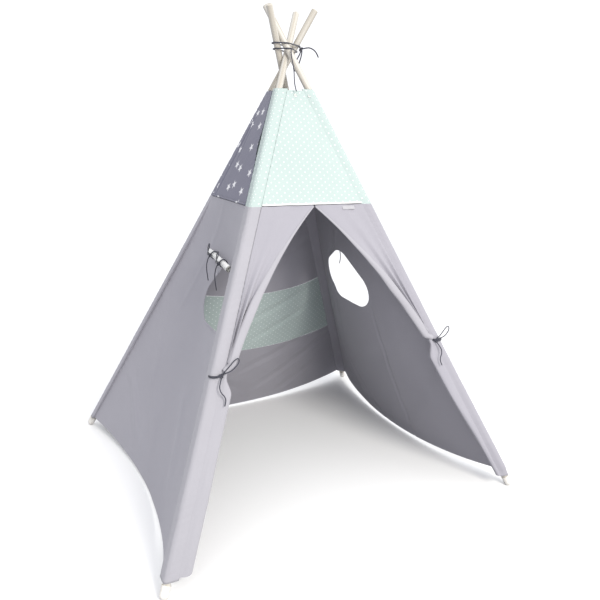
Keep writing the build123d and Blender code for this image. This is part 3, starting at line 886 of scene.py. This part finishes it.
def sleeve(corner, loose_at, seed):
    """A cloth tunnel with gathers along its stitching."""
    count = int((SLEEVE_TOP - SLEEVE_LOW) / 0.0055)
    heights = [SLEEVE_LOW + (SLEEVE_TOP - SLEEVE_LOW) * i / count for i in range(count + 1)]
    verts, inner, uvs = [], [], []
    for i, z in enumerate(heights):
        ring = sleeve_ring(corner, z, loose_at(z), 2)
        centre = rail(corner, z)
        wide = len(ring)
        run = 0.0
        for k, place in enumerate(ring):
            away = place - centre
            here = away.normalized()
            gather = smooth(0.55 + 1.5 * ripple(z * 3.5, k * 0.05, seed + 2))
            wave = 2 * math.pi * (z + 0.0012 * k) / 0.018 + 5 * ripple(z * 9, k * 0.08, seed)
            puff = 0.0007 * (gather * math.sin(wave) + ripple(z * 26, k * 0.22, seed + 4))
            keep = max(away.length + puff, 0.0132)
            verts.append(centre + here * keep)
            inner.append(centre + here * (keep - 0.0007))
            run += 0.0035
            uvs.append((run, z * 1.16))
    half = len(verts)
    faces = grid_faces(len(heights), wide)
    faces += [tuple(k + half for k in f[::-1]) for f in faces]
    for k in range(wide):
        a, b = k, (k + 1) % wide
        faces.append((b, a, a + half, b + half))
        a, b = half - wide + k, half - wide + (k + 1) % wide
        faces.append((a, b, b + half, a + half))
    verts, uvs = verts + inner, uvs + uvs
    upper = {"fl": mint, "fr": mint, "br": dusk, "bl": dusk}[corner]
    # The front-left sleeve gets the lighter grey copy: painted light, as it faces the key light.
    cloths = [grey_painted_lit if corner == "fl" else grey, upper]
    made = finish_mesh(f"sleeve_{corner}_cloth", verts, faces, uvs, cloths, flat_faces=2 * wide)
    for polygon in made.data.polygons:
        if polygon.center.z > SEAM:
            polygon.material_index = 1
    settle(made, f"leg_{corner}", [f"sleeve_{corner}"])


sleeve("fl", lambda z: 0.0006, 11.0)
sleeve("fr", lambda z: 0.0040 + 0.0070 * smooth((0.45 - z) / 0.40) * smooth((z - 0.045) / 0.03), 12.0)
sleeve("br", lambda z: 0.0010, 13.0)
sleeve("bl", lambda z: 0.0006, 14.0)


# ---------------------------------------------------------------- seam piping, window bindings, rolled blinds
def piping(side, half):
    """Half of the rounded strip over a panel's seam."""
    corner = SIDES[side][half]
    z = SEAM + 0.0035
    line, frames = [], []
    for i in range(41):
        u = 0.5 * i / 40 if half == 0 else 1 - 0.5 * i / 40
        place, x, gap, outward = spot(side, u, z, 0.0016)
        place += outward * relief(side, x, z, gap, {"front": 1.0, "left": 2.0, "right": 3.0}[side])
        line.append(place + UP * 0.0007 * ripple(x * 30, 0.0, 5.0))
        frames.append((UP, outward))
    finish = white if side == "front" else dusk
    strip = oval_tube(f"piping_{side}_{corner}", line, frames, level(0.0027), level(0.0019), finish,
                      wobble=0.12)
    settle(strip, f"leg_{corner}", [f"seam_piping_{side}"], side)


def binding(side, half):
    """Half of the turned edge round a window."""
    corner = SIDES[side][half]
    centre = at(side, WIN_X[side], WIN_MID)
    line, frames = [], []
    for a, z in half_outline(side, -1 if half == 0 else 1, -0.0004):
        place = at(side, a, z, -CLOTH / 2)
        start, end, _, outward = chord(side, z)
        gap = (end - start).length / 2 - abs(a)
        place += outward * relief(side, a, z, gap, 5.0 if side == "left" else 6.0)
        line.append(place)
        frames.append(((place - centre).normalized(), outward))
    rim = oval_tube(f"binding_{side}_{corner}", line, frames, level(0.0034), level(0.0015), grey,
                    wobble=0.10, seed=3.0)
    settle(rim, f"leg_{corner}", [f"window_binding_{side}"], side)


ROLL_TURNS, ROLL_AROUND = 5, 26
ROLL_CORE, ROLL_FACE = 0.0035, 0.0098


def blind(side, half):
    """Half of a rolled blind: a spiral of cloth, pinched a little by its ties."""
    corner = SIDES[side][half]
    roll_at, along, outward = blind_axis[side]
    verts, uvs = [], []
    steps = ROLL_TURNS * ROLL_AROUND + 1
    first, last = -WIN_X[side], BLIND_HALF if half else -BLIND_HALF
    cells = 34 if half else 18
    for c in range(cells + 1):
        shift = first + (last - first) * c / cells
        pinch = 1 - 0.10 * math.exp(-(((abs(shift) - BLIND_TIES[1][1]) / 0.008) ** 2))
        droop = -0.0012 * (abs(shift) / BLIND_HALF) ** 2
        for k in range(steps):
            angle = 2 * math.pi * k / ROLL_AROUND
            uneven = 1 + 0.03 * ripple(shift * 25, angle * 0.5, 8.0)
            r = (ROLL_CORE + (ROLL_FACE - ROLL_CORE) * k / (steps - 1)) * pinch * uneven
            spread = UP * math.sin(angle) + outward * math.cos(angle)
            verts.append(roll_at + along * shift + spread * r + UP * droop)
            uvs.append((shift, 0.0065 * angle))
    roll = finish_mesh(f"blind_{side}_{corner}", verts, grid_faces(cells + 1, steps, wrap=False), uvs, white)
    settle(roll, f"leg_{corner}", [f"blind_roll_{side}"], side)


for side in ("front", "left", "right"):
    for half in (0, 1):
        piping(side, half)
for side in ("left", "right"):
    for half in (0, 1):
        binding(side, half)
        blind(side, half)


# ---------------------------------------------------------------- door halves
def arc_through(a, b, c, count):
    """Places on the circle through three points, from a to c."""
    ab, ac = b - a, c - a
    normal = ab.cross(ac)
    away = normal.cross(ab) * ac.length_squared + ac.cross(normal) * ab.length_squared
    centre = a + away / (2 * normal.length_squared)
    first, last = a - centre, c - centre
    axis = normal.normalized()
    sweep = first.angle(last)
    if (b - a).dot(c - a) < 0:
        sweep = 2 * math.pi - sweep
    return [centre + Matrix.Rotation(sweep * i / (count - 1), 3, axis) @ first for i in range(count)]


def face_point(corner, x, z):
    """A place on the door half's plane, which holds the pole and the door's apex."""
    start, end, _, outward = chord("front", SEAM)
    apex = (start + end) / 2 + outward * OUT
    top_place = rail(corner, SEAM) + outward * OUT
    low_place = rail(corner, TIE_Z) + outward * OUT
    normal = (top_place - apex).cross(low_place - apex).normalized()
    y = apex.y - (normal.x * (x - apex.x) + normal.z * (z - apex.z)) / normal.y
    return Vector((x, y, z)), normal if normal.y < 0 else -normal


def flap_lift(s, v, seed):
    """Folds that run down a door half and gather at the tie. s runs from sleeve to free edge, v downwards."""
    gather = 0.0012 + 0.0088 * smooth((v - 0.12) / 0.80) * (1 - 0.35 * smooth((v - 0.86) / 0.14))
    fold = math.sin(math.pi * (0.25 + 4.6 * s**0.85 + 0.25 * ripple(v * 2.2, s * 2.0, seed)))
    wide = 0.55 + 0.45 * smooth(1.3 - s)
    slow = 0.0030 * ripple(s * 2.2, v * 2.6, seed + 2) * (1 - v)
    return gather * fold * wide * smooth(s / 0.10) * smooth((1 - s) / 0.08 + 0.15) + slow * smooth(s / 0.2)


STRIP_LOW = 0.048


def door_edge(corner, turn):
    """A door half's free edge, from the apex down to the tie."""
    apex, normal = face_point(corner, turn * 0.0030, 0.9385)
    knee, _ = face_point(corner, turn * 0.122, 0.824)
    low, _ = face_point(corner, turn * 0.341, 0.526)
    pinch, _ = face_point(corner, turn * 0.3685, TIE_Z + 0.003)
    edge = arc_through(apex, knee, low, 60)
    return edge + [low.lerp(pinch, smooth(i / 8) * 0.5 + i / 16) for i in range(1, 9)], normal


def door_cloth(place, corner, turn, edge, normal, seed):
    """The half above its tie, gathered in folds between the sleeve and the free edge."""
    count, rows, columns = len(edge), 120, 46
    grid, uvs = [], []
    for i in range(rows + 1):
        v = i / rows
        spot_on_edge = v * (count - 1)
        k = min(int(spot_on_edge), count - 2)
        free = edge[k].lerp(edge[k + 1], spot_on_edge - k)
        z_pole = SEAM - 0.001 + (TIE_Z - SEAM) * v
        sewn = rail(corner, z_pole).x - turn * STITCH_AT * (1 - 0.25 * smooth((v - 0.9) / 0.1))
        held, _ = face_point(corner, sewn, z_pole)
        line, marks = [], []
        for j in range(columns + 1):
            s = (j / columns) ** 1.1
            p = held.lerp(free, s)
            gap = (p - held).length + STITCH_AT
            rise = relief("front", p.x, min(p.z, 0.9), gap, seed, 0.5) * (1 - 0.6 * v)
            rise = flap_lift(s, v, seed) + rise * smooth((1 - s) / 0.1 + 0.2)
            if i == 0:
                p = Vector((p.x, p.y, SEAM - 0.001))
            line.append((p + normal * rise, normal))
            marks.append((turn * p.x, p.z * 1.1))
        grid.append(line)
        uvs.append(marks)
    flap = layered(f"door_{place}_cloth", grid, uvs, grey)
    settle(flap, f"leg_{corner}", [f"door_flap_{place}"], "front")


def door_roll(place, corner, edge, normal, seed):
    """The rolled free edge, fuller towards the tie."""
    line = edge[:-2]
    frames = []
    for i in range(len(line)):
        ahead = (line[min(i + 1, len(line) - 1)] - line[max(i - 1, 0)]).normalized()
        frames.append((ahead.cross(normal).normalized(), normal))
    lifted = [p + normal * (0.0012 + 0.0016 * ripple(i * 0.12, 0.0, seed)) for i, p in enumerate(line)]

    def wide(t):
        return 0.0024 + 0.0116 * smooth(t / 0.75) * (1 - 0.50 * smooth((t - 0.88) / 0.12))

    def tall(t):
        return 0.0018 + 0.0067 * smooth(t / 0.8)

    name = f"door_{place}_roll"
    # The roll gets the lighter grey copy: painted light for its lit front.
    roll = oval_tube(name, lifted, frames, wide, tall, grey_painted_lit, sides=20, wobble=0.16, seed=seed)
    settle(roll, f"leg_{corner}", [f"door_hem_{place}"], "front")


# the strip's section in mm, along the panel and outwards from the pole's axis
STRIP = [(20, 13.2), (28, 15.5), (38, 18.0), (50, 18.5), (59, 15), (61.5, 8), (57, 1.5), (47, -1.5),
         (37, -0.5), (30, 3.0), (33, 7.5), (43, 9.5), (52, 9.0)]


def strip_row(corner, v, z, seed):
    """One section of the strip with its UVs: it opens below the tie and lifts at the foot on the left."""
    start, _, along, outward = chord("front", z)
    if corner == "fr":
        start, along = rail("fr", z), -along
    open_up = 0.34 + 0.66 * smooth((v - 0.02) / 0.12)
    if corner == "fr":
        open_up *= 1 - 0.58 * smooth((v - 0.25) / 0.75)
    depth = 0.60 + 0.40 * smooth((v - 0.02) / 0.15)
    first_a, first_n = STRIP[0]
    last = len(STRIP) - 1
    line, marks = [], []
    for k in range(last):
        near = [STRIP[min(max(k + d, 0), last)] for d in (-1, 0, 1, 2)]
        for step in range(5 if k < last - 1 else 6):
            t = step / 5
            a, n = (bend(*values, t) for values in zip(*near))
            share = (k + t) / last
            loose = smooth(share / 0.1)
            a = first_a + (a - first_a) * open_up + 1.2 * ripple(share * 4, z * 9, seed + 8) * loose
            wave = 1.5 * ripple(share * 5, z * 7, seed + 5) + 0.8 * ripple(share * 12, z * 18, seed + 6)
            n = first_n + (n - first_n) * depth + wave * loose
            rise = 14.0 * smooth((share - 0.25) / 0.3) * (v**6) if corner == "fl" else 0.0
            line.append(start + along * (a * MM) + outward * (n * MM) + UP * (rise * MM))
            marks.append((share * 0.13, z * 1.1))
    return line, marks


def door_strip(place, corner, turn, seed):
    """Below the tie the cloth hangs as a folded strip beside the pole."""
    places, uvs, rows = [], [], 84
    top_z = TIE_Z + 0.004
    for i in range(rows + 1):
        v = i / rows
        line, marks = strip_row(corner, v, top_z + (STRIP_LOW - top_z) * v, seed)
        row = []
        for j, p in enumerate(line):
            ahead = line[min(j + 1, len(line) - 1)] - line[max(j - 1, 0)]
            row.append((p, (ahead.cross(UP) * -turn).normalized()))
        places.append(row)
        uvs.append(marks)
    # The left strip gets the lighter grey copy: painted light, as it faces the key light; the right one keeps
    # the plain grey.
    cloth = grey_painted_lit if place == "left" else grey
    strip = layered(f"door_{place}_strip", places, uvs, cloth, thick=0.0009)
    settle(strip, f"leg_{corner}", [f"door_flap_{place}"])


for place, corner, turn, seed in (("left", "fl", -1, 21.0), ("right", "fr", 1, 22.0)):
    edge, normal = door_edge(corner, turn)
    door_cloth(place, corner, turn, edge, normal, seed)
    door_roll(place, corner, edge, normal, seed)
    door_strip(place, corner, turn, seed)

# ---------------------------------------------------------------- blank tag
TAG_X, TAG_TOP = 0.119, 0.9375
TAG_FLAT = (0.043, 0.0110)
grid, uvs = [], []
for i in range(9):
    line, marks = [], []
    for j in range(19):
        x = TAG_X + TAG_FLAT[0] * (j / 18 - 0.5)
        z = TAG_TOP - TAG_FLAT[1] * i / 8
        p, normal = face_point("fr", x, z)
        curl = 0.0022 + 0.0016 * (i / 8) ** 2 + 0.0004 * math.sin(j * 0.7)
        line.append((p + normal * curl, normal))
        marks.append((x, z))
    grid.append(line)
    uvs.append(marks)
tag = layered("blank_tag_cloth", grid, uvs, tag_cloth, thick=0.0006)
settle(tag, "leg_fr", ["label_tag"], "front")

# ---------------------------------------------------------------- eyelets
# radius and height round an eyelet's rolled section
EYELET = [(0.0024, -0.0016), (0.0024, 0.0004), (0.0030, 0.0011), (0.0040, 0.0012), (0.0049, 0.0007),
          (0.0051, 0.0001), (0.0044, -0.0002), (0.0034, -0.0004), (0.0031, -0.0016)]
for name, x, corner in (("left", -0.006, "fl"), ("right", 0.040, "fr")):
    centre = (front_start + front_end) / 2 + front_outward * (OUT + 0.0006)
    centre += front_along * (x - centre.x)
    verts, uvs, around = [], [], 36
    for k in range(around):
        angle = 2 * math.pi * k / around
        for r, h in EYELET:
            spread = front_along * (r * math.cos(angle)) + up_slope * (r * math.sin(angle))
            verts.append(centre + spread + front_out * h)
            uvs.append((angle * r, h))
    faces = [(a, d, c, b) for a, b, c, d in grid_faces(around, len(EYELET), wrap_rows=True)]
    eyelet = finish_mesh(f"eyelet_{name}_ring", verts, faces, uvs, eyelet_metal)
    settle(eyelet, f"leg_{corner}", [f"eyelet_{name}"], "front")

# ---------------------------------------------------------------- floor and light
FLOOR_SEEN = rgb(0.935, 0.935, 0.935)
FLOOR_LIT = rgb(0.47, 0.47, 0.49)  # what the floor throws back at the cloth
floor = bpy.data.meshes.new("floor")
floor.from_pydata([(-30, -30, 0), (30, -30, 0), (30, 30, 0), (-30, 30, 0)], [], [(0, 1, 2, 3)])
ground = add_object("floor", floor)
pale = Shader("floor_pale")
seen = pale.add("ShaderNodeLightPath").outputs["Is Camera Ray"]
shade = pale.blend(seen, FLOOR_LIT, FLOOR_SEEN)
floor.materials.append(pale.finish(shade, [], 0.9, Specular_IOR_Level=0.0))

world = bpy.data.worlds.new("world")
bpy.context.scene.world = world
world.use_nodes = True
world.node_tree.nodes["Background"].inputs[0].default_value = (0.96, 0.97, 1.0, 1.0)
world.node_tree.nodes["Background"].inputs[1].default_value = 1.19
bpy.context.scene.view_settings.view_transform = "Standard"

light = bpy.data.lights.new("key", "AREA")
light.shape = "DISK"
light.size = 1.6
light.energy = 142
light.color = (1.0, 0.97, 0.91)
key = add_object("key", light)
key.location = (0.3, -3.7, 2.6)
key.rotation_euler = (Vector((0, 0, 0.6)) - key.location).to_track_quat("-Z", "Y").to_euler()

bpy.context.view_layer.update()
